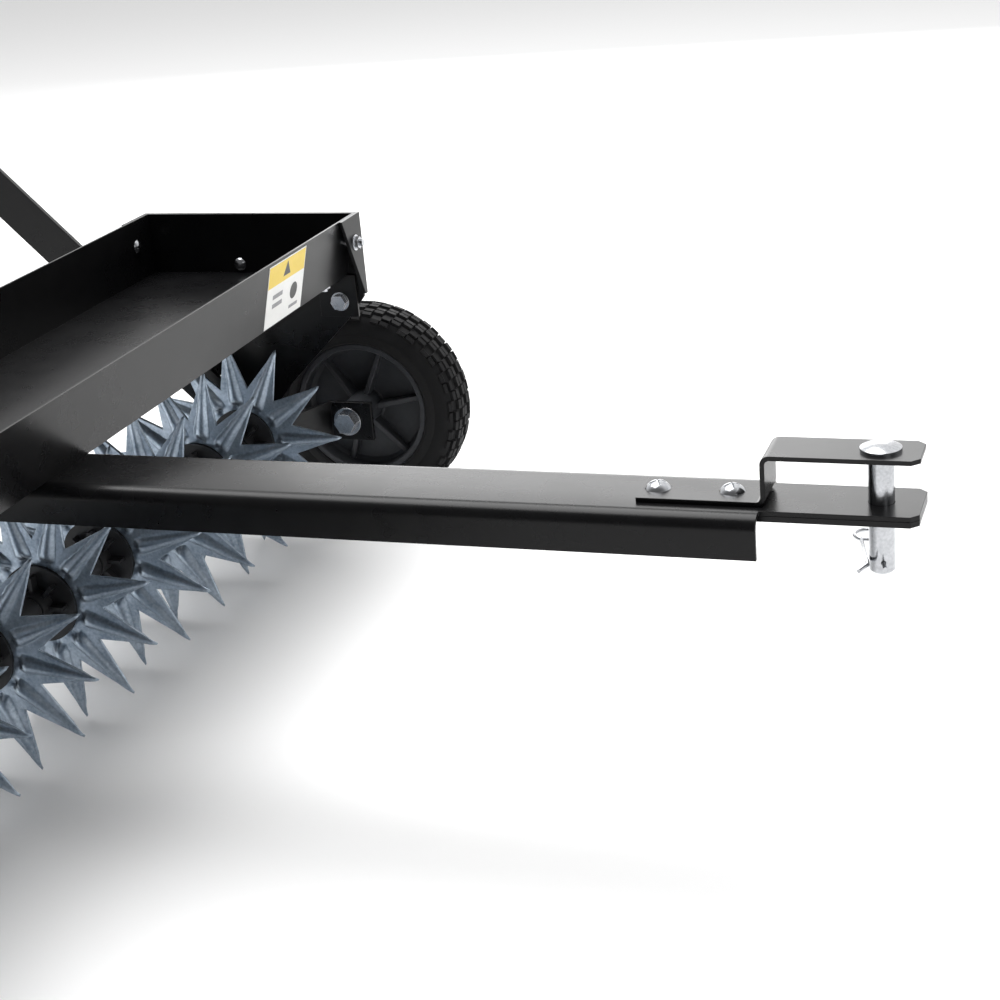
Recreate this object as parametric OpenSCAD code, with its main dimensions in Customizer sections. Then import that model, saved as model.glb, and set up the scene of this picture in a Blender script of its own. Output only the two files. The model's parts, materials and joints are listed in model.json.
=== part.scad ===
// Tow-behind spike aerator: weight tray, star tines, wheels, lift handle and drawbar.
// Working frame: X forward, Y to the left, Z up, origin at the tray's front bottom fold.
// place() then moves everything onto the ground, centred under the whole object.

/* [Tray] */
// Length of the tray between its end plates
tray_w = 1012; // [700:1:1500]
// Depth of the tray floor, front to rear
tray_d = 200; // [150:1:300]
// Height of the tray walls
tray_h = 58; // [40:1:90]
// How far the front wall's top leans forward
tray_lean = 14; // [5:1:20]
// Thickness of the folded tray sheet
sheet_t = 2; // [1.5:0.1:3]
// Thickness of the end plates
plate_t = 3; // [2:0.5:5]
// Width of the end plates' tabs at the tray's rim
tab_w = 38; // [25:1:60]

/* [Drawbar] */
// Length of the drawbar in front of the tray
bar_reach = 490; // [350:1:800]
// Length of the drawbar under the tray
bar_under = 190; // [120:1:200]
// Width of the drawbar channel
bar_w = 72; // [64:1:100]
// Height of the drawbar channel
bar_h = 28; // [22:1:40]
// Outer radius of the channel's folds
bar_r = 10; // [6:0.5:12]
// Thickness of the channel sheet
bar_t = 3; // [2:0.5:4]

/* [Hitch] */
// Reach of the hitch beyond the channel
hitch_reach = 95; // [80:1:150]
// Width of the drawbar's tongue and the plate under it
tongue_w = 48; // [40:1:54]
// Thickness of the plate under the tongue
tongue_plate_t = 4; // [3:0.5:8]
// Width of the upper strap
strap_w = 36; // [28:1:44]
// Thickness of the upper strap
strap_t = 3; // [3:0.5:6]
// Clear height between tongue and strap
clevis_gap = 30; // [20:1:45]
// Diameter of the hitch pin
pin_d = 15.8; // [10:0.1:19]
// Length of the hitch pin below its head
pin_l = 78; // [72:1:120]
// Wire diameter of the hairpin clip
clip_d = 2.6; // [2:0.1:3.5]

/* [Stars] */
// Radius of the star discs at their tips
star_r = 101.5; // [84:0.5:120]
// Radius of the notches between spikes
notch_r = 54; // [48:1:60]
// Radius of the hole in each disc
star_hole_r = 28; // [24:0.5:34]
// Thickness of each disc
star_t = 2.5; // [2:0.1:4]
// Diameter of the axle
axle_d = 16; // [12:1:20]
// Length of each plastic hub
hub_l = 38; // [30:1:60]

/* [Wheels] */
// Radius of the wheels
wheel_r = 101; // [85:0.5:120]
// Width of the tyres
tyre_w = 49; // [35:1:60]
// Radius of the wheel rims, where the tyres sit
rim_r = 67; // [55:1:75]
// Distance from the star axle forward to the wheel axle
arm_l = 79; // [72:1:110]
// Diameter of the wheel bolts
wheel_bolt_d = 12; // [10:1:16]

/* [Lift handle] */
// Length of the handle from the axle to the grip
lever_l = 500; // [400:1:800]
// Width of the handle bars
lever_w = 38; // [30:1:44]
// Thickness of the handle bars
lever_t = 5; // [4:0.5:8]
// Diameter of the grip tube
grip_d = 25; // [20:1:32]
// Length of the hand grip
grip_l = 300; // [150:1:500]

/* [Hidden] */
$fn = 48;
fit = 0.05;            // radial running clearance
loose = 0.4;           // radial clearance of bolts in sheet holes
side_gap = 0.4;        // gap beside parts that turn
spikes = 12;
star_turn = [4, 20, 4, 15, 13, 22, 24, 28, 9, 27, 2];   // where each disc last stopped, degrees
star_count = len(star_turn);
axle_drop = 151;       // star axle below the tray floor
axle_x = -tray_d / 2 - 5;
axle = [axle_x, -axle_drop];
ground = -axle_drop - star_r;
wheel_x = axle_x + arm_l;
wheel_z = ground + wheel_r;
arm_tilt = atan2(wheel_z + axle_drop, wheel_x - axle_x);

half_w = tray_w / 2;
plate_y = half_w;                       // inner face of the end plates
lever_y = half_w - 25.5;                // inner face of the handle bars
arm_y = plate_y + plate_t + 17;         // inner face of the bars' wheel ends
tyre_y = arm_y + 32;                    // inner side of the tyres
star_pitch = 2 * (lever_y - hub_l / 2 - 1.5) / (star_count - 1);
lever_up = 6;                           // travel from rest, handle raised
lever_down = 28;                        // travel from rest, handle lowered
tray_corner = [-tray_d - axle_x, axle_drop];    // rear bottom fold, seen from the axle
lever_slope = 180 - lever_up - 0.7 - atan2(tray_corner[1], tray_corner[0])
    - asin(lever_w / 2 / norm(tray_corner));    // handle stands just clear of that fold
slot_r = 60;                            // clamp slot radius about the axle
lobe_r = slot_r + 14;
lug_r = 20;

m6 = 6;
m8 = 8;
nut6 = [10, 5];                         // across flats, height
nut8 = [13, 6.5];
dome6_r = 6.5;
dome6_h = 3.4;
tab_bolt_z = 0.58 * tray_h;
tab_bolt_in = [14, 29];                 // tab bolts from the end plates, front and rear
lip_bolts = [[axle_x - 3, 9.5]];
bracket_bolt = [-9, -25];
bracket_x = [-30, 8];
bracket_drop = 40;
bracket_foot = 30;
bracket_t = 3;
foot_bolt = [-16, 19];                  // x, and distance from the end plate
bar_bolt_x = [-35, -165];

strap_base_l = 78;
strap_x = bar_reach;                    // back face of the strap's riser
hitch_end = bar_reach + hitch_reach;
screw_x = [bar_reach - 68, bar_reach - 21];
pin_x = bar_reach + 70;
corner_cut = 5;
tongue_bottom = -bar_t - tongue_plate_t;
leaf_z = clevis_gap;                    // underside of the strap's upper leaf
head_h = 5;
clip_z = -pin_l + clevis_gap + strap_t + 8;
clip_bore_r = clip_d / 2 + 0.3;
clip_turn = -76;                        // the clip's leg, from straight ahead

lever_end = [axle_x - lever_l * cos(lever_slope), -axle_drop + lever_l * sin(lever_slope)];
back_x = lever_end[0] - lever_w / 2;
centre_x = (hitch_end + back_x) / 2;

function star_y(i) = (star_count + 1 - 2 * i) / 2 * star_pitch;
function polar(r, a) = [r * cos(a), r * sin(a)];

// ---- shared shapes ----

// Extrudes an outline drawn in X and Z, from y along +Y
module across(y, t) translate([0, y + t, 0]) rotate([90, 0, 0]) linear_extrude(t) children();

module both_sides() for (s = [0, 1]) mirror([0, s, 0]) children();

module disc(r, t, bore = 0) difference() {
    cylinder(r = r, h = t);
    if (bore > 0) translate([0, 0, -1]) cylinder(r = bore, h = t + 2);
}

module hex(af, h, bore = 0) difference() {
    cylinder(r = af / sqrt(3), h = h, $fn = 6);
    if (bore > 0) translate([0, 0, -1]) cylinder(r = bore, h = h + 2, $fn = 48);
}

// A hex nut on a thin flange
module flange_nut(af, h, bore) union() {
    hex(af, h, bore);
    disc(0.72 * af, 1.2, bore);
}

// A low dome of radius r and height h standing on z = 0
module dome(r, h) {
    ball = (r * r + h * h) / (2 * h);
    intersection() {
        translate([0, 0, h - ball]) sphere(r = ball, $fn = 64);
        cylinder(r = r + 1, h = h + 1);
    }
}

// A carriage bolt whose head sits on z = 0 and whose shank runs along -Z
module carriage_bolt(d, length) {
    dome(dome6_r, dome6_h);
    translate([0, 0, -length]) cylinder(d = d, h = length + 0.5);
}

// A hex bolt whose head sits on z = 0, over its washer, with its shank along -Z
module hex_bolt(d, af, head, length) {
    hex(af, head);
    translate([0, 0, -length]) cylinder(d = d, h = length + 0.5);
}

// Rectangle from y = -h to 0, with its two upper corners rounded
module arched(w, h, r) {
    translate([-w / 2 + r, -h]) square([w - 2 * r, h]);
    translate([-w / 2, -h]) square([w, h - r]);
    for (s = [-1, 1]) translate([s * (w / 2 - r), -r]) circle(r = r);
}

// Plate from x0 to x1 with cut corners at its front end
module tongue_outline(x0, x1, w) polygon([[x0, -w / 2], [x1 - corner_cut, -w / 2],
    [x1, -w / 2 + corner_cut], [x1, w / 2 - corner_cut], [x1 - corner_cut, w / 2], [x0, w / 2]]);

// ---- tray ----

module tray_outline() polygon([[-tray_d, tray_h], [-tray_d, 0], [0, 0], [tray_lean, tray_h],
    [tray_lean - sheet_t, tray_h], [-sheet_t, sheet_t], [-tray_d + sheet_t, sheet_t],
    [-tray_d + sheet_t, tray_h]]);

module tab_bolt_places(k) both_sides() translate([0, plate_y - tab_bolt_in[k], tab_bolt_z]) children();

front_wall_x = tray_lean * tab_bolt_z / tray_h;

module weight_tray() color("#1c1d20") difference() {
    union() {
        across(-half_w, tray_w) tray_outline();
        both_sides() across(half_w - sheet_t, sheet_t) polygon([[-tray_d + 1, tray_h], [-tray_d + 1, 1],
            [-1, 1], [tray_lean - 1, tray_h]]);
    }
    for (k = [0, 1]) tab_bolt_places(k) translate([k == 0 ? -sheet_t : -tray_d - 5, 0, 0])
        rotate([0, 90, 0]) cylinder(r = m6 / 2 + loose, h = k == 0 ? tray_lean + 8 : 10);
    for (p = lip_bolts) translate([p[0], -half_w - 1, p[1]]) rotate([-90, 0, 0])
        cylinder(r = m6 / 2 + loose, h = tray_w + 2);
    for (x = bar_bolt_x) translate([x, 0, -1]) cylinder(r = m6 / 2 + loose, h = sheet_t + 2);
    both_sides() translate([foot_bolt[0], plate_y - foot_bolt[1], -1])
        cylinder(r = m6 / 2 + loose, h = sheet_t + 2);
}

module plate_outline() {
    polygon([[-tray_d - plate_t, tray_h], [-tray_d - plate_t, -40], [axle_x - lobe_r * cos(15), -axle_drop + lobe_r * sin(15)],
        [axle_x, -axle_drop], [axle_x + lug_r, -axle_drop], [axle_x + lug_r, -axle_drop + 26],
        [axle_x + lug_r + 14, -axle_drop + 43], [-4, -43], [tray_lean, -21], [tray_lean, tray_h]]);
    translate(axle) circle(r = lug_r);
    intersection() {
        translate(axle) circle(r = lobe_r);
        translate([axle_x - lobe_r, -axle_drop - 9]) square([lobe_r, lobe_r + 9]);
    }
}

// Curved slot that the clamp bolt follows, from the handle's lowest to its highest place
module clamp_slot() {
    low = 180 - lever_slope - lever_up - 2;
    travel = lever_up + lever_down + 4;
    slot_w = m8 + 1;
    translate(axle) {
        for (a = [low, low + travel]) translate(polar(slot_r, a)) circle(d = slot_w);
        difference() {
            polygon(concat([[0, 0]], [for (k = [0:4]) polar(slot_r + 20, low + travel * k / 4)]));
            circle(r = slot_r - slot_w / 2);
            difference() {
                circle(r = slot_r + 60);
                circle(r = slot_r + slot_w / 2);
            }
        }
    }
}

module end_plate() color("#17181a") difference() {
    union() {
        across(plate_y, plate_t) plate_outline();
        // front tab, narrowing downwards
        translate([tray_lean, 0, 0]) rotate([90, 0, 90]) linear_extrude(plate_t)
            polygon([[plate_y + plate_t, tray_h], [plate_y - tab_w, tray_h], [plate_y - 1, -18],
                [plate_y + plate_t, -18]]);
        // rear tab, reaching past its bolt
        translate([-tray_d - plate_t, 0, 0]) rotate([90, 0, 90]) linear_extrude(plate_t)
            polygon([[plate_y + plate_t, tray_h], [plate_y - tab_w - 6, tray_h],
                [plate_y - tab_w - 6, tab_bolt_z - 14], [plate_y - 1, 0], [plate_y + plate_t, 0]]);
    }
    for (k = [0, 1]) translate([k == 0 ? tray_lean - 1 : -tray_d - plate_t - 1, plate_y - tab_bolt_in[k],
        tab_bolt_z]) rotate([0, 90, 0]) cylinder(r = m6 / 2 + loose, h = plate_t + 2);
    for (p = lip_bolts) translate([p[0], plate_y - 1, p[1]]) rotate([-90, 0, 0])
        cylinder(r = m6 / 2 + loose, h = plate_t + 2);
    translate([bracket_bolt[0], plate_y - 1, bracket_bolt[1]]) rotate([-90, 0, 0])
        cylinder(r = m8 / 2 + loose, h = plate_t + 2);
    translate([axle_x, plate_y - 1, -axle_drop]) rotate([-90, 0, 0])
        cylinder(r = axle_d / 2 + fit, h = plate_t + 2);
    across(plate_y - 1, plate_t + 2) clamp_slot();
}

module corner_bracket() color("#202124") difference() {
    union() {
        translate([bracket_x[0], plate_y - bracket_t, -bracket_drop])
            cube([bracket_x[1] - bracket_x[0], bracket_t, bracket_drop]);
        translate([bracket_x[0], plate_y - bracket_foot, -bracket_t])
            cube([bracket_x[1] - bracket_x[0] - 12, bracket_foot, bracket_t]);
    }
    translate([bracket_bolt[0], plate_y - bracket_t - 1, bracket_bolt[1]]) rotate([-90, 0, 0])
        cylinder(r = m8 / 2 + loose, h = bracket_t + 2);
    translate([foot_bolt[0], plate_y - foot_bolt[1], -bracket_t - 1])
        cylinder(r = m6 / 2 + loose, h = bracket_t + 2);
}

module carriage_bolts() color("silver") {
    tab_bolt_places(0) translate([front_wall_x - sheet_t - 1.7, 0, 0]) rotate([0, -90, 0])
        carriage_bolt(m6, tray_lean + plate_t - front_wall_x + sheet_t + 10);
    tab_bolt_places(1) translate([-tray_d + sheet_t, 0, 0]) rotate([0, 90, 0])
        carriage_bolt(m6, sheet_t + plate_t + 8);
    both_sides() {
        for (p = lip_bolts) translate([p[0], plate_y - sheet_t, p[1]]) rotate([90, 0, 0])
            carriage_bolt(m6, sheet_t + plate_t + 8);
        translate([foot_bolt[0], plate_y - foot_bolt[1], sheet_t])
            carriage_bolt(m6, sheet_t + bracket_t + 8);
    }
    for (x = bar_bolt_x) translate([x, 0, sheet_t]) carriage_bolt(m6, sheet_t + bar_t + 8);
}

module carriage_nuts() color("silver") {
    bore = m6 / 2 + fit;
    tab_bolt_places(0) translate([tray_lean + plate_t, 0, 0]) rotate([0, 90, 0])
        flange_nut(nut6[0], nut6[1], bore);
    tab_bolt_places(1) translate([-tray_d - plate_t, 0, 0]) rotate([0, -90, 0])
        flange_nut(nut6[0], nut6[1], bore);
    both_sides() {
        for (p = lip_bolts) translate([p[0], plate_y + plate_t, p[1]])
            rotate([-90, 0, 0]) flange_nut(nut6[0], nut6[1], bore);
        translate([foot_bolt[0], plate_y - foot_bolt[1], -bracket_t]) mirror([0, 0, 1])
            flange_nut(nut6[0], nut6[1], bore);
    }
    for (x = bar_bolt_x) translate([x, 0, -bar_t]) mirror([0, 0, 1])
        flange_nut(nut6[0], nut6[1], bore);
}

module bracket_bolts() color("silver") both_sides()
    translate([bracket_bolt[0], plate_y - bracket_t, bracket_bolt[1]]) rotate([90, 0, 0]) {
        disc(9, 1.5);
        translate([0, 0, 1.4]) hex_bolt(m8, nut8[0], 5.3, bracket_t + plate_t + 10);
    }

module bracket_nuts() color("silver") both_sides()
    translate([bracket_bolt[0], plate_y + plate_t, bracket_bolt[1]]) rotate([-90, 0, 0])
        hex(nut8[0], nut8[1], m8 / 2 + fit);

// Sticker that lies on the sloping front wall, near its left end
label_w = 75;
label_h = 56;
label_t = 0.3;
label_y = 0.71 * half_w;
wall_slope = atan2(tray_lean, tray_h);

module warning_label() color("white") rotate([0, wall_slope, 0])
    translate([0.02, label_y - label_w / 2, 1]) cube([label_t, label_w, label_h]);

// ---- drawbar and hitch ----

module drawbar() color("#1a1b1e") difference() {
    union() {
        translate([-bar_under, 0, 0]) rotate([90, 0, 90]) linear_extrude(bar_under + bar_reach)
            difference() {
                arched(bar_w, bar_h, bar_r);
                translate([0, -bar_t]) arched(bar_w - 2 * bar_t, bar_h, bar_r - bar_t);
            }
        translate([0, 0, -bar_t]) linear_extrude(bar_t)
            tongue_outline(bar_reach - 1, hitch_end, tongue_w);
    }
    for (x = bar_bolt_x) translate([x, 0, -bar_t - 1]) cylinder(r = m6 / 2 + loose, h = bar_t + 2);
    for (x = screw_x) translate([x, 0, -bar_t - 1]) cylinder(r = m8 / 2 + loose, h = bar_t + 2);
    translate([pin_x, 0, -bar_t - 1]) cylinder(r = pin_d / 2 + fit, h = bar_t + 2);
}

module hitch_plate() color("#1a1b1e") difference() {
    translate([0, 0, tongue_bottom]) linear_extrude(tongue_plate_t)
        tongue_outline(bar_reach - 95, hitch_end, tongue_w);
    for (x = screw_x) translate([x, 0, tongue_bottom - 1])
        cylinder(r = m8 / 2 + loose, h = tongue_plate_t + 2);
    translate([pin_x, 0, tongue_bottom - 1]) cylinder(r = pin_d / 2 + fit, h = tongue_plate_t + 2);
}

// Side view of the strap: flat base, riser with rounded folds, upper leaf
module strap_side() {
    r = strap_t + 3;
    top = leaf_z + strap_t;
    translate([strap_x - strap_base_l, 0]) square([strap_base_l - r + strap_t, strap_t]);
    translate([strap_x, r]) square([strap_t, top - 2 * r]);
    translate([strap_x + r, leaf_z]) square([hitch_end - strap_x - r - 20, strap_t]);
    translate([strap_x + strap_t - r, r]) fold(r, [0, -r]);
    translate([strap_x + r, top - r]) fold(r, [-r, 0]);
}

// A quarter ring of outer radius r, in the square whose low corner is given
module fold(r, corner) intersection() {
    difference() {
        circle(r = r);
        circle(r = r - strap_t);
    }
    translate(corner) square(r);
}

module hitch_strap() color("#1a1b1e") difference() {
    union() {
        across(-strap_w / 2, strap_w) strap_side();
        translate([0, 0, leaf_z]) linear_extrude(strap_t)
            tongue_outline(hitch_end - 21, hitch_end, strap_w);
    }
    for (x = screw_x) translate([x, 0, -1]) cylinder(r = m8 / 2 + loose, h = strap_t + 2);
    translate([pin_x, 0, leaf_z - 1]) cylinder(r = pin_d / 2 + fit, h = strap_t + 2);
}

module hitch_screws() color("silver") for (x = screw_x) translate([x, 0, strap_t]) {
    difference() {
        dome(8.3, 5);
        for (a = [0, 90]) rotate([0, 0, a + 25]) translate([-5.5, -0.7, 3.2]) cube([11, 1.4, 3]);
    }
    translate([0, 0, -strap_t + tongue_bottom - 9])
        cylinder(d = m8, h = strap_t - tongue_bottom + 9.5);
}

module hitch_nuts() color("silver") for (x = screw_x)
    translate([x, 0, tongue_bottom - nut8[1]]) hex(nut8[0], nut8[1], m8 / 2 + fit);

module hitch_pin() color("silver") difference() {
    translate([pin_x, 0, leaf_z + strap_t]) {
        cylinder(d = 25, h = head_h - 3);
        translate([0, 0, head_h - 3]) dome(12.5, 3);
        translate([0, 0, -pin_l + 1.5]) cylinder(d = pin_d, h = pin_l);
        translate([0, 0, -pin_l]) cylinder(d1 = pin_d - 3, d2 = pin_d, h = 1.5, $fn = 48);
    }
    translate([pin_x, 0, clip_z]) rotate([0, 0, clip_turn]) rotate([0, 90, 0])
        cylinder(r = clip_bore_r, h = pin_d + 2, center = true);
}

// Hairpin clip: one leg through the pin, a ring, and a leg beside the pin with a flared tip
clip_side = pin_d / 2 + clip_d / 2 + 0.4;
clip_ring_x = -pin_d / 2 - 24;
clip_ring_r = 8;

// A round rod from a to b, both in the clip's plane, begun half a millimetre early
module rod(a, b) translate([a[0], a[1], 0])
    rotate([0, 0, atan2(b[1] - a[1], b[0] - a[0])]) rotate([0, 90, 0])
        translate([0, 0, -0.5]) cylinder(d = clip_d, h = norm(b - a) + 0.5);

module hairpin_clip() color("silver") translate([pin_x, 0, clip_z]) rotate([0, 0, clip_turn]) {
    ring_mid = [clip_ring_x - sqrt(clip_ring_r * clip_ring_r - 25), -5];
    rod([pin_d / 2 + 9, 0], [clip_ring_x, 0]);
    translate([ring_mid[0], ring_mid[1], 0]) rotate_extrude()
        translate([clip_ring_r, 0]) circle(d = clip_d + 0.2);
    rod([9, -clip_side], [ring_mid[0] + sqrt(clip_ring_r * clip_ring_r
        - (clip_side - 5) * (clip_side - 5)), -clip_side]);
    rod([18, -clip_side - 6], [9, -clip_side]);
}

// ---- stars and their axle ----

module star(i) color("#a9b4bf") translate([axle_x, star_y(i) - star_t / 2, -axle_drop])
    rotate([-90, 0, 0]) rotate([0, 0, -star_turn[i - 1]]) linear_extrude(star_t) difference() {
        polygon([for (k = [0:2 * spikes - 1]) polar(k % 2 == 0 ? star_r : notch_r, k * 180 / spikes)]);
        circle(r = star_hole_r);
    }

// Plastic hub: a sleeve on the axle, a spoked web and the seat that carries the disc
module star_hub(i) color("#141414") translate([axle_x, star_y(i), -axle_drop]) rotate([-90, 0, 0])
    difference() {
        union() {
            translate([0, 0, -hub_l / 2]) cylinder(r = axle_d / 2 + 5, h = hub_l);
            translate([0, 0, -3]) cylinder(r = star_hole_r, h = 6);
            for (s = [-1, 1]) translate([0, 0, s * (star_t / 2 + 1.6) - 1.5])
                cylinder(r = star_hole_r + 4, h = 3);
            for (k = [0:7]) rotate([0, 0, k * 45]) translate([0, -1.5, -12])
                cube([star_hole_r - 3, 3, 24]);
        }
        translate([0, 0, -hub_l / 2 - 1]) cylinder(r = axle_d / 2 + fit, h = hub_l + 2);
    }

axle_end = plate_y + plate_t + 24;
spacer_r = axle_d / 2 + 4;

module star_axle() color("silver") translate([axle_x, -axle_end, -axle_drop]) rotate([-90, 0, 0])
    cylinder(d = axle_d, h = 2 * axle_end);

module spacer(y0, y1) translate([axle_x, y0, -axle_drop]) rotate([-90, 0, 0])
    disc(spacer_r, y1 - y0, axle_d / 2 + fit);

module axle_spacers() color("#26272a") {
    for (i = [1:star_count - 1])
        spacer(star_y(i + 1) + hub_l / 2 + side_gap, star_y(i) - hub_l / 2 - side_gap);
    both_sides() {
        if (lever_y - star_y(1) - hub_l / 2 > 3 * side_gap)
            spacer(star_y(1) + hub_l / 2 + side_gap, lever_y - side_gap);
        spacer(lever_y + lever_t + side_gap, plate_y);
    }
}

module axle_washers() color("silver") both_sides()
    translate([axle_x, plate_y + plate_t, -axle_drop]) rotate([-90, 0, 0])
        disc(axle_d / 2 + 7, 2.5, axle_d / 2 + fit);

module axle_nuts() color("silver") both_sides()
    translate([axle_x, plate_y + plate_t + 2.5, -axle_drop]) rotate([-90, 0, 0]) {
        hex(1.5 * axle_d, 0.8 * axle_d, axle_d / 2 + fit);
        translate([0, 0, 0.8 * axle_d]) disc(0.62 * axle_d, 3, axle_d / 2 + fit);
    }

// ---- lift handle ----

joggle = [42, 62];                      // start and end of the bars' sideways step, from the axle
arm_end = arm_l + 25;

module lever_outline() translate(axle) {
    rotate(180 - lever_slope) translate([0, -lever_w / 2]) square([lever_l, lever_w]);
    rotate(180 - lever_slope) translate([lever_l, 0]) circle(d = lever_w);
    circle(r = lever_w / 2 + 5);
    rotate(arm_tilt) translate([0, -lever_w / 2]) square([joggle[0], lever_w]);
}

module lift_bar() color("#17181a") difference() {
    union() {
        across(lever_y, lever_t) lever_outline();
        translate([axle_x, 0, -axle_drop]) rotate([0, -arm_tilt, 0]) {
            translate([0, 0, -lever_w / 2]) linear_extrude(lever_w) polygon([
                [joggle[0] - 5, lever_y], [joggle[0], lever_y], [joggle[1], arm_y], [arm_end, arm_y],
                [arm_end, arm_y + lever_t], [joggle[1] - 2, arm_y + lever_t],
                [joggle[0] - 2, lever_y + lever_t], [joggle[0] - 5, lever_y + lever_t]]);
        }
    }
    translate([axle_x, lever_y - 1, -axle_drop]) rotate([-90, 0, 0])
        cylinder(r = axle_d / 2 + fit, h = lever_t + 2);
    translate([wheel_x, arm_y - 1, wheel_z]) rotate([-90, 0, 0])
        cylinder(r = wheel_bolt_d / 2 + fit, h = lever_t + 2);
    translate([clamp_at[0], lever_y - 1, clamp_at[1]]) rotate([-90, 0, 0])
        cylinder(r = m8 / 2 + loose, h = lever_t + 2);
    translate([lever_end[0], lever_y - 1, lever_end[1]]) rotate([-90, 0, 0])
        cylinder(r = m8 / 2 + loose, h = lever_t + 2);
}

clamp_at = axle + polar(slot_r, 180 - lever_slope);
grip_wall = 1.5;
plug_l = 25;

// Tube with a tapped plug in each end
module grip_tube() color("#17181a") translate([lever_end[0], -lever_y, lever_end[1]])
    rotate([-90, 0, 0]) {
        disc(grip_d / 2, 2 * lever_y, grip_d / 2 - grip_wall);
        for (y = [0, 2 * lever_y - plug_l]) translate([0, 0, y])
            disc(grip_d / 2 - grip_wall + 0.2, plug_l, m8 / 2 + fit);
    }

module hand_grip() color("#101010") translate([lever_end[0], -grip_l / 2, lever_end[1]])
    rotate([-90, 0, 0]) disc(grip_d / 2 + 4, grip_l, grip_d / 2);

module grip_bolts() color("silver") both_sides()
    translate([lever_end[0], lever_y + lever_t, lever_end[1]]) rotate([-90, 0, 0])
        hex_bolt(m8, nut8[0], 5.3, lever_t + plug_l - 3);

// Clamp on the right-hand side: a bolt through the handle bar and the end plate's slot
module clamp_bolt() color("silver") mirror([0, 1, 0])
    translate([clamp_at[0], lever_y, clamp_at[1]]) rotate([90, 0, 0]) {
        hex_bolt(m8, nut8[0], 5.3, plate_y + plate_t + 22 - lever_y);
        translate([0, 0, -(plate_y - side_gap - lever_y)])
            disc(7, plate_y - side_gap - lever_y - lever_t, m8 / 2 - 0.2);
    }

module clamp_knob() color("#101010") mirror([0, 1, 0])
    translate([clamp_at[0], plate_y + plate_t + side_gap, clamp_at[1]]) rotate([-90, 0, 0]) {
        disc(10, 5, m8 / 2 + fit);
        translate([0, 0, 5]) linear_extrude(14) difference() {
            union() {
                circle(r = 15);
                for (k = [0:5]) rotate(k * 60 + 23) translate([14, 0]) circle(r = 4.5);
            }
            circle(r = m8 / 2 + fit);
        }
    }

// ---- wheels ----

hub_in = arm_y + lever_t + side_gap;
hub_out = tyre_y + tyre_w - 2;
web_y = tyre_y + 22;

module at_wheel(y) translate([wheel_x, y, wheel_z]) rotate([-90, 0, 0]) children();

module wheel_hub() color("#4a4d52") difference() {
    union() {
        at_wheel(hub_in) cylinder(r = 15, h = hub_out - hub_in);
        at_wheel(web_y) cylinder(r = rim_r - 2, h = 5);
        at_wheel(tyre_y + 2) disc(rim_r, tyre_w - 4, rim_r - 6);
        at_wheel(tyre_y + 4) for (k = [0:5]) rotate([0, 0, k * 60 + 20])
            translate([0, -2, 0]) cube([rim_r - 3, 4, web_y - tyre_y]);
    }
    at_wheel(hub_in - 1) cylinder(r = wheel_bolt_d / 2 + fit, h = hub_out - hub_in + 2);
}

// Tyre section with rounded shoulders, measured from the wheel's centre
module tyre() color("#151515") at_wheel(tyre_y) rotate_extrude($fn = 96) difference() {
    shoulder = 12;
    union() {
        translate([rim_r, 0]) square([wheel_r - rim_r - shoulder, tyre_w]);
        translate([rim_r, shoulder]) square([wheel_r - rim_r, tyre_w - 2 * shoulder]);
        for (y = [shoulder, tyre_w - shoulder]) translate([wheel_r - shoulder, y]) circle(r = shoulder);
    }
    translate([0, -1]) square([rim_r, tyre_w + 2]);
}

washer_t = 2.5;

module wheel_bolts() color("silver") both_sides() at_wheel(arm_y - washer_t)
    mirror([0, 0, 1]) hex_bolt(wheel_bolt_d, 19, 7.5, hub_out + 22 - arm_y);

module wheel_washers() color("silver") both_sides() {
    at_wheel(arm_y - washer_t) disc(14, washer_t, wheel_bolt_d / 2 + fit);
    at_wheel(hub_out + side_gap) disc(14, washer_t, wheel_bolt_d / 2 + fit);
}

module wheel_nuts() color("silver") both_sides() at_wheel(hub_out + side_gap + washer_t) {
    hex(19, 9, wheel_bolt_d / 2 + fit);
    translate([0, 0, 9]) disc(8, 3, wheel_bolt_d / 2 + fit);
}

// ---- placing ----

module place() translate([-centre_x, 0, -ground]) children();

place() weight_tray();
place() end_plate();  // end_plate_left
place() mirror([0, 1, 0]) end_plate();  // end_plate_right
place() corner_bracket();  // corner_bracket_left
place() mirror([0, 1, 0]) corner_bracket();  // corner_bracket_right
place() carriage_bolts();
place() carriage_nuts();
place() bracket_bolts();
place() bracket_nuts();
place() warning_label();
place() drawbar();
place() hitch_plate();
place() hitch_strap();
place() hitch_screws();
place() hitch_nuts();
place() hitch_pin();
place() hairpin_clip();
place() star_axle();
place() axle_spacers();
place() axle_washers();
place() axle_nuts();
place() lift_bar();  // lift_bar_left
place() mirror([0, 1, 0]) lift_bar();  // lift_bar_right
place() grip_tube();
place() hand_grip();
place() grip_bolts();
place() clamp_bolt();
place() clamp_knob();
place() wheel_hub();  // wheel_hub_left
place() mirror([0, 1, 0]) wheel_hub();  // wheel_hub_right
place() tyre();  // tyre_left
place() mirror([0, 1, 0]) tyre();  // tyre_right
place() wheel_bolts();
place() wheel_washers();
place() wheel_nuts();
for (i = [1:star_count]) {
    place() star(i);
    place() star_hub(i);
}
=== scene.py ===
import json
import math

import bmesh
import bpy
from mathutils import Matrix, Vector

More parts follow.
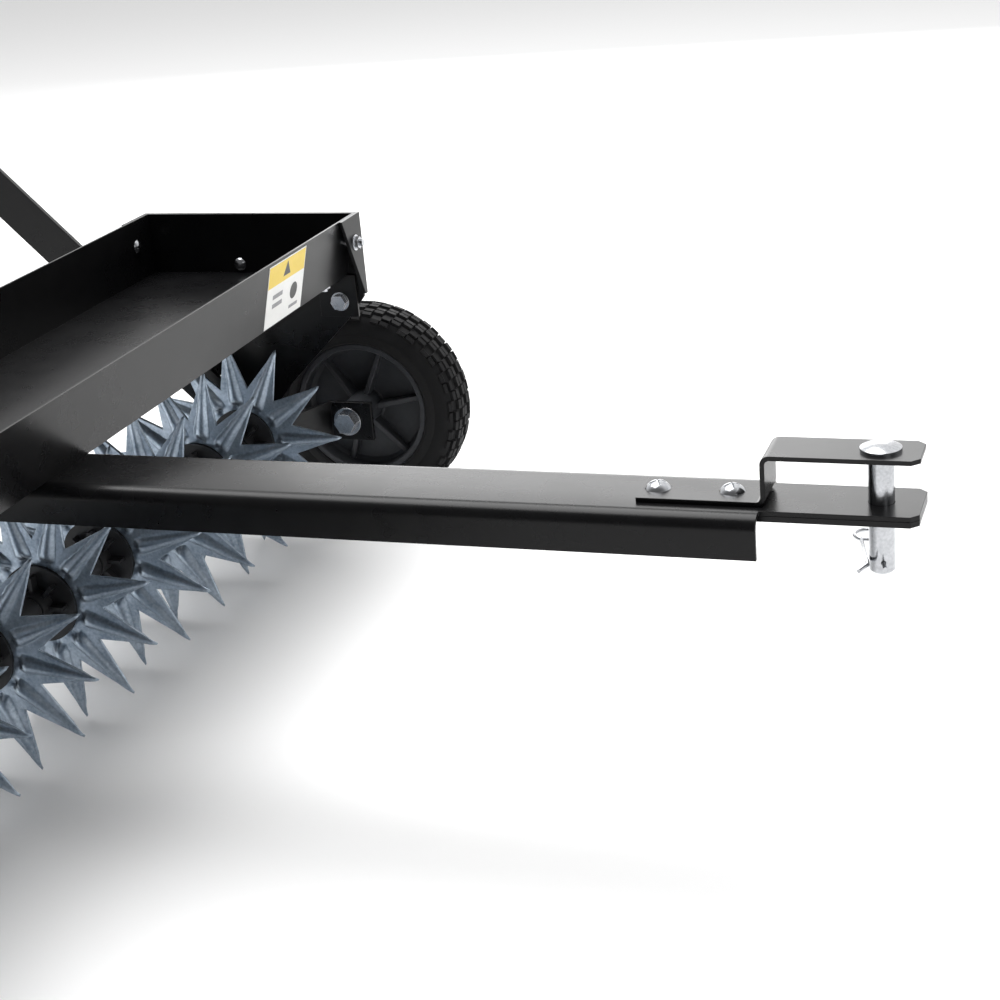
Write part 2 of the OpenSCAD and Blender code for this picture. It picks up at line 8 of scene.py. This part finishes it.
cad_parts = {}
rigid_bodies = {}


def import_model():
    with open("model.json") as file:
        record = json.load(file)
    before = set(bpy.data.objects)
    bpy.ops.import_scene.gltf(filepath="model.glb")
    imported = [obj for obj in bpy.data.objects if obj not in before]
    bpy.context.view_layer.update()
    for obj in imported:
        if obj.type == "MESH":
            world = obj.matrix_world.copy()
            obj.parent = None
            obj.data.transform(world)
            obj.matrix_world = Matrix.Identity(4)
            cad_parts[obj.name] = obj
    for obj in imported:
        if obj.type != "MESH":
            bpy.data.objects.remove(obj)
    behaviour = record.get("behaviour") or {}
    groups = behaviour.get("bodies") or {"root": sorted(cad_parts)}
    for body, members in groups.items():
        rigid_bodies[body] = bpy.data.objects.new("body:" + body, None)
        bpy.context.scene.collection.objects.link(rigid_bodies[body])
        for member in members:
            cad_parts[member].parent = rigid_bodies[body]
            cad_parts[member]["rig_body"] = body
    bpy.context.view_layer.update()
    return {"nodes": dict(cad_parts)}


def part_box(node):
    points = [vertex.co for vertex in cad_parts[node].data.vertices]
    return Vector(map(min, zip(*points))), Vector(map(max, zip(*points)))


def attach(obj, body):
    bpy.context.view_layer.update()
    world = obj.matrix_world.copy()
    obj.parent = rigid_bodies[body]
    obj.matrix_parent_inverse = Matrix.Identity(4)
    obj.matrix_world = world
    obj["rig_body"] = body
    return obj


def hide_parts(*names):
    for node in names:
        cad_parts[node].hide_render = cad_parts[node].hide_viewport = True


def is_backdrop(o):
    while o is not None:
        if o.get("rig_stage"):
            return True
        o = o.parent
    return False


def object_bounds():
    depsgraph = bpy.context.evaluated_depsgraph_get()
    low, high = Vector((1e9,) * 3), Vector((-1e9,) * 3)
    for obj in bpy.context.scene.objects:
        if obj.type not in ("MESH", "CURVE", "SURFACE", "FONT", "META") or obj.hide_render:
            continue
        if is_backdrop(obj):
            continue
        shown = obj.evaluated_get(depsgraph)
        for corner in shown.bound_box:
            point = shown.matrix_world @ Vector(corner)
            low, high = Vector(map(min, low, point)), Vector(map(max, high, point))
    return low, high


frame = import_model()

# ---- Floor, light and camera -------------------------------------------------
# A pale floor under a large soft box, with a faint fill from the hitch side and a
# low light from behind. The sky is dim in front and bright behind, so that black
# paint stays dark, but the backdrop itself is plain white wherever it is seen.
scene = bpy.context.scene
scene.view_settings.view_transform = "Standard"

world = bpy.data.worlds.new("studio")
scene.world = world
world.use_nodes = True
sky = world.node_tree.nodes["Background"]
sky.inputs["Color"].default_value = (1, 1, 1, 1)
facing = world.node_tree.nodes.new("ShaderNodeTexCoord")
parts = world.node_tree.nodes.new("ShaderNodeSeparateXYZ")
sky_range = world.node_tree.nodes.new("ShaderNodeMapRange")
sky_range.interpolation_type = "SMOOTHSTEP"
sky_range.inputs["From Min"].default_value, sky_range.inputs["From Max"].default_value = -0.5, 0.6
sky_range.inputs["To Min"].default_value, sky_range.inputs["To Max"].default_value = 0.16, 1.2
world.node_tree.links.new(facing.outputs["Generated"], parts.inputs["Vector"])
world.node_tree.links.new(parts.outputs["Y"], sky_range.inputs["Value"])
seen = world.node_tree.nodes.new("ShaderNodeLightPath")
backdrop = world.node_tree.nodes.new("ShaderNodeMix")
backdrop.inputs["B"].default_value = 1.0
world.node_tree.links.new(seen.outputs["Is Camera Ray"], backdrop.inputs["Factor"])
world.node_tree.links.new(sky_range.outputs["Result"], backdrop.inputs["A"])
world.node_tree.links.new(backdrop.outputs["Result"], sky.inputs["Strength"])

floor_mesh = bmesh.new()
bmesh.ops.create_grid(floor_mesh, x_segments=1, y_segments=1, size=30)
floor_data = bpy.data.meshes.new("floor")
floor_mesh.to_mesh(floor_data)
floor_mesh.free()
floor = bpy.data.objects.new("floor", floor_data)
scene.collection.objects.link(floor)
floor_paint = bpy.data.materials.new("pale_floor")
floor_paint.use_nodes = True
floor_shader = floor_paint.node_tree.nodes["Principled BSDF"]
floor_shader.inputs["Base Color"].default_value = (0.93, 0.93, 0.93, 1)
floor_shader.inputs["Roughness"].default_value = 0.9
floor_shader.inputs["Specular IOR Level"].default_value = 0.1
floor_data.materials.append(floor_paint)
floor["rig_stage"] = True


def soft_light(name, place, size, power):
    """A square soft box at place, aimed at the middle of the tray."""
    lamp = bpy.data.lights.new(name, "AREA")
    lamp.size, lamp.energy = size, power
    holder = bpy.data.objects.new(name, lamp)
    holder.location = place
    aim = Vector((0, 0, 0.2)) - holder.location
    holder.rotation_euler = aim.to_track_quat("-Z", "Y").to_euler()
    scene.collection.objects.link(holder)


soft_light("overhead", (-0.6, 0.6, 3.4), 2.6, 150)
soft_light("fill", (3.0, -2.4, 1.6), 1.6, 7)
soft_light("behind", (-0.5, 3.2, 1.1), 1.8, 26)

LOOK_AZIMUTH, LOOK_DOWN, LOOK_ROLL = 110.25, 21.15, 5.04    # degrees
camera = bpy.data.objects.new("camera", bpy.data.cameras.new("camera"))
scene.collection.objects.link(camera)
camera.data.lens, camera.data.sensor_width = 69.4, 36
azimuth, down = math.radians(LOOK_AZIMUTH), math.radians(LOOK_DOWN)
look = Vector((math.cos(azimuth) * math.cos(down), math.sin(azimuth) * math.cos(down),
               -math.sin(down)))
level = look.to_track_quat("-Z", "Y").to_matrix().to_4x4()
camera.matrix_world = (Matrix.Translation((0.6633, -1.0854, 0.690)) @ level
                       @ Matrix.Rotation(math.radians(-LOOK_ROLL), 4, "Z"))
camera.data.clip_start, camera.data.clip_end = 0.01, 100
scene.camera = camera

# ---- Tray and its sheet-metal parts ------------------------------------------
# Folded and punched steel sheet: the tray, its end plates and brackets, the
# channel drawbar, the hitch strap and plate, and the two joggled lift bars.
# All are powder coated black, with a faint orange peel and edges softly rounded.
def shader_group(name, inputs, outputs):
    """An empty shader node group with float, vector or colour sockets."""
    tree = bpy.data.node_groups.new(name, "ShaderNodeTree")
    for label, kind in inputs:
        tree.interface.new_socket(label, in_out="INPUT", socket_type=kind)
    for label, kind in outputs:
        tree.interface.new_socket(label, in_out="OUTPUT", socket_type=kind)
    return tree, tree.nodes.new("NodeGroupInput"), tree.nodes.new("NodeGroupOutput")


# Fine surface grain, as a bumped normal
grain_group, g_in, g_out = shader_group(
    "surface_grain",
    [("Vector", "NodeSocketVector"), ("Scale", "NodeSocketFloat"), ("Height", "NodeSocketFloat")],
    [("Normal", "NodeSocketVector")])
fine = grain_group.nodes.new("ShaderNodeTexNoise")
fine.inputs["Detail"].default_value = 3
bump = grain_group.nodes.new("ShaderNodeBump")
bump.inputs["Strength"].default_value = 0.6
link = grain_group.links.new
link(g_in.outputs["Vector"], fine.inputs["Vector"])
link(g_in.outputs["Scale"], fine.inputs["Scale"])
link(fine.outputs["Fac"], bump.inputs["Height"])
link(g_in.outputs["Height"], bump.inputs["Distance"])
link(bump.outputs["Normal"], g_out.inputs["Normal"])

# Broad patches with finer flecks inside them, as a mask from 0 to 1
patch_group, p_in, p_out = shader_group(
    "patches",
    [("Vector", "NodeSocketVector"), ("Scale", "NodeSocketFloat"), ("Flecks", "NodeSocketFloat")],
    [("Mask", "NodeSocketFloat")])
broad = patch_group.nodes.new("ShaderNodeTexNoise")
broad.inputs["Detail"].default_value = 4
finer = patch_group.nodes.new("ShaderNodeTexNoise")
finer.inputs["Detail"].default_value = 2
times = patch_group.nodes.new("ShaderNodeMath")
times.operation = "MULTIPLY"
times.inputs[1].default_value = 9
blend = patch_group.nodes.new("ShaderNodeMix")
spread = patch_group.nodes.new("ShaderNodeMapRange")
spread.inputs["From Min"].default_value = 0.35
spread.inputs["From Max"].default_value = 0.65
link = patch_group.links.new
link(p_in.outputs["Vector"], broad.inputs["Vector"])
link(p_in.outputs["Vector"], finer.inputs["Vector"])
link(p_in.outputs["Scale"], broad.inputs["Scale"])
link(p_in.outputs["Scale"], times.inputs[0])
link(times.outputs[0], finer.inputs["Scale"])
link(p_in.outputs["Flecks"], blend.inputs["Factor"])
link(broad.outputs["Fac"], blend.inputs["A"])
link(finer.outputs["Fac"], blend.inputs["B"])
link(blend.outputs["Result"], spread.inputs["Value"])
link(spread.outputs["Result"], p_out.inputs["Mask"])


def finish(name, light, dark, rough, metal=0.0, specular=0.5, patch=12, flecks=0.3,
           grain=900, height=0.00005):
    """A material that drifts between two colours and two roughnesses, with grain."""
    made = bpy.data.materials.new(name)
    made.use_nodes = True
    nodes, join = made.node_tree.nodes, made.node_tree.links.new
    shader = nodes["Principled BSDF"]
    shader.inputs["Metallic"].default_value = metal
    shader.inputs["Specular IOR Level"].default_value = specular
    place = nodes.new("ShaderNodeTexCoord")
    patches = nodes.new("ShaderNodeGroup")
    patches.node_tree = patch_group
    patches.inputs["Scale"].default_value = patch
    patches.inputs["Flecks"].default_value = flecks
    colours = nodes.new("ShaderNodeMix")
    colours.data_type = "RGBA"
    colours.inputs["A"].default_value = (*light, 1)
    colours.inputs["B"].default_value = (*dark, 1)
    shine = nodes.new("ShaderNodeMapRange")
    shine.inputs["To Min"].default_value, shine.inputs["To Max"].default_value = rough
    grained = nodes.new("ShaderNodeGroup")
    grained.node_tree = grain_group
    grained.inputs["Scale"].default_value = grain
    grained.inputs["Height"].default_value = height
    join(place.outputs["Object"], patches.inputs["Vector"])
    join(place.outputs["Object"], grained.inputs["Vector"])
    join(patches.outputs["Mask"], colours.inputs["Factor"])
    join(patches.outputs["Mask"], shine.inputs["Value"])
    join(colours.outputs["Result"], shader.inputs["Base Color"])
    join(shine.outputs["Result"], shader.inputs["Roughness"])
    join(grained.outputs["Normal"], shader.inputs["Normal"])
    return made


def make_piece(name, mesh, material, body, slot, *nodes):
    """Turns a bmesh into a piece that rides on a body and stands for its CAD nodes."""
    data = bpy.data.meshes.new(name)
    mesh.to_mesh(data)
    mesh.free()
    data.materials.append(material)
    piece = bpy.data.objects.new(name, data)
    scene.collection.objects.link(piece)
    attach(piece, body)
    if nodes:
        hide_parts(*nodes)
    return piece


SHARP = math.radians(32)


def smooth_faces(mesh):
    """Shades a bmesh smooth, but keeps its true edges sharp."""
    for face in mesh.faces:
        face.smooth = True
    for edge in mesh.edges:
        edge.smooth = len(edge.link_faces) == 2 and edge.calc_face_angle(0) < SHARP


def eased(node, material, slot, edge=0.0):
    """The CAD solid again with its triangles joined up and its edges rounded by edge metres."""
    solid = frame["nodes"][node]
    mesh = bmesh.new()
    mesh.from_mesh(solid.data)
    bmesh.ops.remove_doubles(mesh, verts=mesh.verts, dist=0.00001)
    bmesh.ops.dissolve_limit(mesh, angle_limit=math.radians(0.4), verts=mesh.verts,
                             edges=mesh.edges)
    smooth_faces(mesh)
    piece = make_piece(node + "_piece", mesh, material, solid["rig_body"], slot, node)
    if edge:
        rounded = piece.modifiers.new("eased_edges", "BEVEL")
        rounded.width, rounded.segments = edge, 2
        rounded.limit_method, rounded.angle_limit = "ANGLE", SHARP
        rounded.harden_normals = True


black_paint = finish("black_powder_coat", (0.004, 0.004, 0.0045), (0.007, 0.007, 0.0075),
                     (0.26, 0.31), specular=0.22, patch=6, flecks=0.4, grain=1300, height=0.00003)
for node, edge in (("weight_tray", 0.0006), ("end_plate_left", 0.0006), ("end_plate_right", 0.0006),
                   ("corner_bracket_left", 0.0005), ("corner_bracket_right", 0.0005),
                   ("drawbar", 0.0006), ("hitch_plate", 0.0006), ("hitch_strap", 0.0006),
                   ("lift_bar_left", 0.0007), ("lift_bar_right", 0.0007), ("grip_tube", 0.0004)):
    eased(node, black_paint, "black_paint", edge)

# ---- Bolts, nuts, pin and clip -----------------------------------------------
# Turned, cold-headed and bent steel with bright zinc plate: carriage bolts and
# flange nuts, cross-slot screws, the hitch pin with its hairpin clip, the star
# axle and the wheel bolts. Standard parts, put together with spanners.
bright_zinc = finish("bright_zinc", (0.56, 0.57, 0.59), (0.40, 0.41, 0.43), (0.14, 0.26),
                     metal=1.0, patch=60, flecks=0.5, grain=2500, height=0.00002)
for node in ("carriage_bolts", "carriage_nuts", "bracket_bolts", "bracket_nuts", "hitch_screws",
             "hitch_nuts", "axle_washers", "axle_nuts", "grip_bolts", "clamp_bolt", "wheel_bolts",
             "wheel_washers", "wheel_nuts"):
    eased(node, bright_zinc, "zinc", 0.0003)
for node in ("hitch_pin", "hairpin_clip", "star_axle"):
    eased(node, bright_zinc, "zinc")

# ---- Star discs --------------------------------------------------------------
# Each disc is blanked from galvanised sheet with twelve long spikes. A press
# then raises a rounded rib along every spike, from near the hole to the point,
# and leaves a small dimple at the root of each rib.
galvanised = finish("galvanised_sheet", (0.46, 0.53, 0.61), (0.24, 0.30, 0.37), (0.28, 0.44),
                    metal=0.8, patch=45, flecks=0.45, grain=700, height=0.00006)
TIP, NOTCH, HOLE = 0.1013, 0.054, 0.028          # radii of points, notches and hole
SHEET = 0.0024
SPIKES = 12
RIB_START, RIB_WIDTH, RIB_HEIGHT = 0.038, 0.0066, 0.0050
DIMPLE_AT, DIMPLE_SIZE, DIMPLE_DEPTH = 0.0345, 0.0034, 0.0024
HALF_SECTOR = math.pi / SPIKES


def stamped_spike(mesh):
    """One twelfth of the disc, from hole to point, with its rib and the dimple at its root."""
    bmesh.ops.create_grid(mesh, x_segments=20, y_segments=16, size=0.5)
    notch = Vector((NOTCH * math.cos(HALF_SECTOR), NOTCH * math.sin(HALF_SECTOR)))
    dimple = Vector((DIMPLE_AT, 0))
    for vert in mesh.verts:
        along, side = vert.co.x + 0.5, 2 * vert.co.y
        across = abs(side) ** 1.35
        sign = 1 if side >= 0 else -1
        turn = HALF_SECTOR * across
        inner = Vector((HOLE * math.cos(turn), HOLE * math.sin(turn)))
        outer = Vector((TIP, 0)).lerp(notch, across)
        flat = inner.lerp(outer, along)
        run = max(0.0, min(1.0, (flat.x - RIB_START) / (TIP - RIB_START)))
        width = RIB_WIDTH * (1 - 0.93 * run)
        crown = max(0.0, 1 - (flat.y / width) ** 2) ** 0.6
        swell = min(1.0, run / 0.08) ** 0.5 * (1 - run) ** 0.55
        sink = math.exp(-((flat - dimple).length / DIMPLE_SIZE) ** 2)
        vert.co = (flat.x, sign * flat.y, RIB_HEIGHT * crown * swell - DIMPLE_DEPTH * sink)


def star_disc(node):
    """A stamped disc at the CAD disc's place, its points turned to the same angles."""
    solid = frame["nodes"][node]
    low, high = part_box(node)
    centre = (low + high) / 2
    point = max((vert.co for vert in solid.data.vertices),
                key=lambda co: (co.x - centre.x) ** 2 + (co.z - centre.z) ** 2)
    turn = math.atan2(point.z - centre.z, point.x - centre.x)
    mesh = bmesh.new()
    stamped_spike(mesh)
    bmesh.ops.spin(mesh, geom=mesh.verts[:] + mesh.edges[:] + mesh.faces[:], axis=(0, 0, 1),
                   cent=(0, 0, 0), angle=2 * math.pi, steps=SPIKES, use_duplicate=True,
                   use_merge=False)
    bmesh.ops.remove_doubles(mesh, verts=mesh.verts, dist=0.00002)
    bmesh.ops.recalc_face_normals(mesh, faces=mesh.faces)
    for face in mesh.faces:
        face.smooth = True
    stand_up = Matrix.Rotation(math.pi / 2, 4, "X")
    turned = Matrix.Translation(centre) @ Matrix.Rotation(-turn, 4, "Y") @ stand_up
    bmesh.ops.transform(mesh, matrix=turned, verts=mesh.verts)
    piece = make_piece(node + "_stamped", mesh, galvanised, solid["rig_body"], "galvanised", node)
    wall = piece.modifiers.new("sheet", "SOLIDIFY")
    wall.thickness, wall.offset = SHEET, 0


for number in range(1, 12):
    star_disc(f"star_{number}")

# ---- Star hubs and spacers ---------------------------------------------------
# Black moulded plastic. Each hub is a spool that grips its disc by the hole and
# turns on the axle, and a plain tube keeps it apart from the next one.
black_plastic = finish("black_plastic", (0.014, 0.014, 0.015), (0.024, 0.024, 0.026), (0.42, 0.55),
                       specular=0.4, patch=20, grain=1800, height=0.00006)
for number in range(1, 12):
    eased(f"star_hub_{number}", black_plastic, "black_plastic", 0.0004)
eased("axle_spacers", black_plastic, "black_plastic", 0.0004)
eased("clamp_knob", black_plastic, "black_plastic", 0.001)

# ---- Tyres -------------------------------------------------------------------
# Moulded black rubber, eight inches across. The tread is rows of square blocks
# that break up at the shoulders, over a plain rounded side wall.
tyre_rubber = finish("tyre_rubber", (0.006, 0.006, 0.007), (0.012, 0.012, 0.012), (0.60, 0.78),
                     specular=0.22, patch=30, flecks=0.5, grain=1500, height=0.00012)
RIM = 0.067                       # radius where the tyre sits on its hub
TREAD = 0.0032                    # height of the blocks
SHOULDER = 0.008                  # how far down from the crown the blocks reach
GROOVE = 0.0007                   # half the gap between blocks
BLOCK_STEPS, BLOCK_COLUMNS = 60, 4
ORIGIN, Y_AXIS = (0, 0, 0), (0, 1, 0)


def lathe(section, steps):
    """A closed section of (radius, y) points, spun once round the Y axis."""
    mesh = bmesh.new()
    ring = [mesh.verts.new((0, y, radius)) for radius, y in section]
    for first, second in zip(ring, ring[1:] + ring[:1]):
        mesh.edges.new((first, second))
    bmesh.ops.spin(mesh, geom=mesh.verts[:] + mesh.edges[:], axis=Y_AXIS, cent=ORIGIN,
                   angle=2 * math.pi, steps=steps, use_merge=True)
    bmesh.ops.remove_doubles(mesh, verts=mesh.verts, dist=0.00001)
    return mesh


def tyre(node):
    """A tyre on the CAD tyre's axis: its section spun round, then blocks raised on it."""
    solid = frame["nodes"][node]
    low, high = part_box(node)
    centre = (low + high) / 2
    outside, half = (high.z - low.z) / 2, (high.y - low.y) / 2
    base = outside - TREAD
    # radius, and y as a part of half the width
    section = [(RIM, -0.93), (RIM + 0.002, -1.0), (RIM + 0.007, -0.985), (RIM + 0.010, -0.93),
               (RIM + 0.014, -0.955), (base - 0.012, -0.97), (base - 0.007, -0.93),
               (base - 0.003, -0.82), (base - 0.001, -0.62), (base, -0.38), (base, -0.13)]
    section += [(radius, -y) for radius, y in reversed(section)]
    mesh = lathe([(radius, y * half) for radius, y in section], BLOCK_STEPS)
    bmesh.ops.recalc_face_normals(mesh, faces=mesh.faces)
    blocks = []
    for face in mesh.faces:
        middle = face.calc_center_median()
        if math.hypot(middle.x, middle.z) < base - SHOULDER:
            continue
        step = int((math.atan2(middle.z, middle.x) / (2 * math.pi) + 0.5) * BLOCK_STEPS)
        column = round(middle.y / half * BLOCK_COLUMNS)
        if (step + column) % 3:
            blocks.append(face)
    bmesh.ops.inset_individual(mesh, faces=blocks, thickness=GROOVE, depth=TREAD * 0.98,
                               use_even_offset=True)
    smooth_faces(mesh)
    bmesh.ops.translate(mesh, vec=centre, verts=mesh.verts)
    make_piece(node + "_moulded", mesh, tyre_rubber, solid["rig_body"], "tyre_rubber", node)


tyre("tyre_left")
tyre("tyre_right")

# ---- Wheel hubs --------------------------------------------------------------
# Dark grey moulded plastic: a rim that carries the tyre, a thin web with six
# ribs on each face, and a long boss that turns on the wheel bolt.
wheel_grey = finish("grey_plastic", (0.040, 0.042, 0.047), (0.026, 0.028, 0.032), (0.36, 0.50),
                    specular=0.45, patch=15, grain=1500, height=0.00006)
BOSS, BORE = 0.015, 0.00605       # outer and inner radius of the boss
RIBS, RIB_THICK, RIB_REACH = 6, 0.0045, 0.016
RIB_TURN, RIB_TAPER = 20, 0.55    # degrees from upright, and how much lower the outer end is


def wheel_hub(node):
    """Rim, web and boss spun in one piece, with tapering ribs set on both sides of the web."""
    solid = frame["nodes"][node]
    low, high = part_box(node)
    centre = Vector(((low.x + high.x) / 2, 0, (low.z + high.z) / 2))
    side = 1 if low.y > 0 else -1
    out, inner = (high.y, low.y) if side > 0 else (-low.y, -high.y)
    lip_in, lip_out = out - 0.045, out
    web_in, web_out = out - 0.027, out - 0.022
    section = [(BORE, inner), (BOSS - 0.001, inner), (BOSS, inner + 0.001),
               (BOSS + 0.0015, web_in - 0.001),
               (BOSS + 0.003, web_in), (RIM - 0.011, web_in), (RIM - 0.007, web_in - 0.004),
               (RIM - 0.006, lip_in + 0.001), (RIM - 0.005, lip_in), (RIM - 0.001, lip_in),
               (RIM, lip_in + 0.001), (RIM, lip_out - 0.001), (RIM - 0.001, lip_out),
               (RIM - 0.005, lip_out), (RIM - 0.006, lip_out - 0.001),
               (RIM - 0.007, web_out + 0.004), (RIM - 0.011, web_out),
               (BOSS + 0.003, web_out), (BOSS + 0.0015, web_out + 0.001),
               (BOSS, out - 0.001), (BOSS - 0.001, out), (BORE, out)]
    mesh = lathe([(radius, side * y) for radius, y in section], 72)
    for face, depth in ((web_in, -RIB_REACH), (web_out, RIB_REACH)):
        for spoke in range(RIBS):
            made = bmesh.ops.create_cube(mesh, size=1)["verts"]
            length = RIM - 0.007 - BOSS
            bmesh.ops.scale(mesh, vec=(RIB_THICK, abs(depth), length), verts=made)
            bmesh.ops.translate(mesh, vec=(0, side * (face + depth / 2), BOSS + length / 2),
                                verts=made)
            for vert in made:
                raised = (side * vert.co.y - face) * depth > 0.5 * depth * depth
                if raised and vert.co.z > RIM - 0.02:
                    vert.co.y -= side * depth * RIB_TAPER
            angle = math.radians(360 / RIBS * spoke + RIB_TURN)
            bmesh.ops.rotate(mesh, cent=ORIGIN, verts=made,
                             matrix=Matrix.Rotation(angle, 3, "Y"))
    bmesh.ops.recalc_face_normals(mesh, faces=mesh.faces)
    smooth_faces(mesh)
    bmesh.ops.translate(mesh, vec=centre, verts=mesh.verts)
    piece = make_piece(node + "_moulded", mesh, wheel_grey, solid["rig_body"], "wheel_grey",
                       node)
    rounded = piece.modifiers.new("eased_edges", "BEVEL")
    rounded.width, rounded.segments = 0.0006, 2
    rounded.limit_method, rounded.angle_limit = "ANGLE", math.radians(50)


wheel_hub("wheel_hub_left")
wheel_hub("wheel_hub_right")

# ---- Hand grip ---------------------------------------------------------------
# Soft black rubber sleeve, pushed on the cross tube, with rounded ends and a
# row of finger rings moulded into its length.
grip_rubber = finish("grip_rubber", (0.012, 0.012, 0.012), (0.020, 0.020, 0.020), (0.60, 0.75),
                     specular=0.35, patch=25, grain=1600, height=0.0001)
low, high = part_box("hand_grip")
grip_mid, grip_half = (low + high) / 2, (high.y - low.y) / 2
grip_out, grip_in = (high.z - low.z) / 2, 0.0126
rings = 24
section = [(grip_in, -grip_half), (grip_out - 0.002, -grip_half), (grip_out, -grip_half + 0.002)]
for ring_number in range(rings):
    at = -grip_half + 0.008 + (2 * grip_half - 0.016) * (ring_number + 0.5) / rings
    section += [(grip_out, at - 0.0035), (grip_out - 0.0012, at - 0.0020),
                (grip_out - 0.0012, at + 0.0020), (grip_out, at + 0.0035)]
section += [(grip_out, grip_half - 0.002), (grip_out - 0.002, grip_half), (grip_in, grip_half)]
grip = lathe(section, 48)
bmesh.ops.recalc_face_normals(grip, faces=grip.faces)
smooth_faces(grip)
bmesh.ops.translate(grip, vec=grip_mid, verts=grip.verts)
make_piece("hand_grip_sleeve", grip, grip_rubber, "lift_handle", "grip_rubber", "hand_grip")

# ---- Sticker -----------------------------------------------------------------
# Printed film on the front wall: a yellow band with a plain triangle above a
# white field with two columns of simple marks, and no lettering.
film_white = finish("film_white", (0.82, 0.82, 0.80), (0.78, 0.78, 0.76), (0.30, 0.38), patch=40)
film_yellow = finish("film_yellow", (0.80, 0.58, 0.04), (0.76, 0.54, 0.03), (0.30, 0.38), patch=40)
film_ink = finish("film_ink", (0.02, 0.02, 0.02), (0.03, 0.03, 0.03), (0.35, 0.45), patch=40)
film_grey = finish("film_grey", (0.30, 0.30, 0.31), (0.25, 0.25, 0.26), (0.35, 0.45), patch=40)
eased("warning_label", film_white, "label_film")
low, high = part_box("warning_label")
LEAN = math.atan2(14, 58)
FILM, PRINT = 0.0003, 0.00006
label_width, label_height = high.y - low.y, 0.056
# the film's own axes: width to the left, then height up the wall, then outwards
on_film = (Matrix.Translation((low.x + (FILM + PRINT) * math.cos(LEAN), low.y, low.z))
           @ Matrix.Rotation(LEAN, 4, "Y")
           @ Matrix(((0, 0, 1, 0), (1, 0, 0, 0), (0, 1, 0, 0), (0, 0, 0, 1))))


def printed(name, material, mesh):
    """Lays a flat print, drawn in the film's width and height, on the film."""
    bmesh.ops.transform(mesh, matrix=on_film, verts=mesh.verts)
    make_piece(name, mesh, material, "chassis", "label_film")


def patch_of(mesh, left, bottom, width, height):
    """A rectangle of print."""
    made = bmesh.ops.create_grid(mesh, x_segments=1, y_segments=1, size=0.5)["verts"]
    bmesh.ops.scale(mesh, vec=(width, height, 1), verts=made)
    bmesh.ops.translate(mesh, vec=(left + width / 2, bottom + height / 2, 0), verts=made)
    return made


band = bmesh.new()
patch_of(band, 0.0008, 0.036, label_width - 0.0016, label_height - 0.037)
printed("label_band", film_yellow, band)

ink = bmesh.new()
made = bmesh.ops.create_circle(ink, cap_ends=True, segments=3, radius=0.0085)["verts"]
bmesh.ops.translate(ink, vec=(label_width * 0.5, 0.0445, 0.00004), verts=made)
made = bmesh.ops.create_circle(ink, cap_ends=True, segments=28, radius=0.0075)["verts"]
bmesh.ops.translate(ink, vec=(label_width * 0.74, 0.021, 0.00004), verts=made)
printed("label_ink", film_ink, ink)

marks = bmesh.new()
patch_of(marks, label_width * 0.16, 0.024, 0.020, 0.004)
patch_of(marks, label_width * 0.16, 0.016, 0.020, 0.004)
patch_of(marks, label_width * 0.64, 0.006, 0.018, 0.003)
printed("label_marks", film_grey, marks)

low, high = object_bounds()
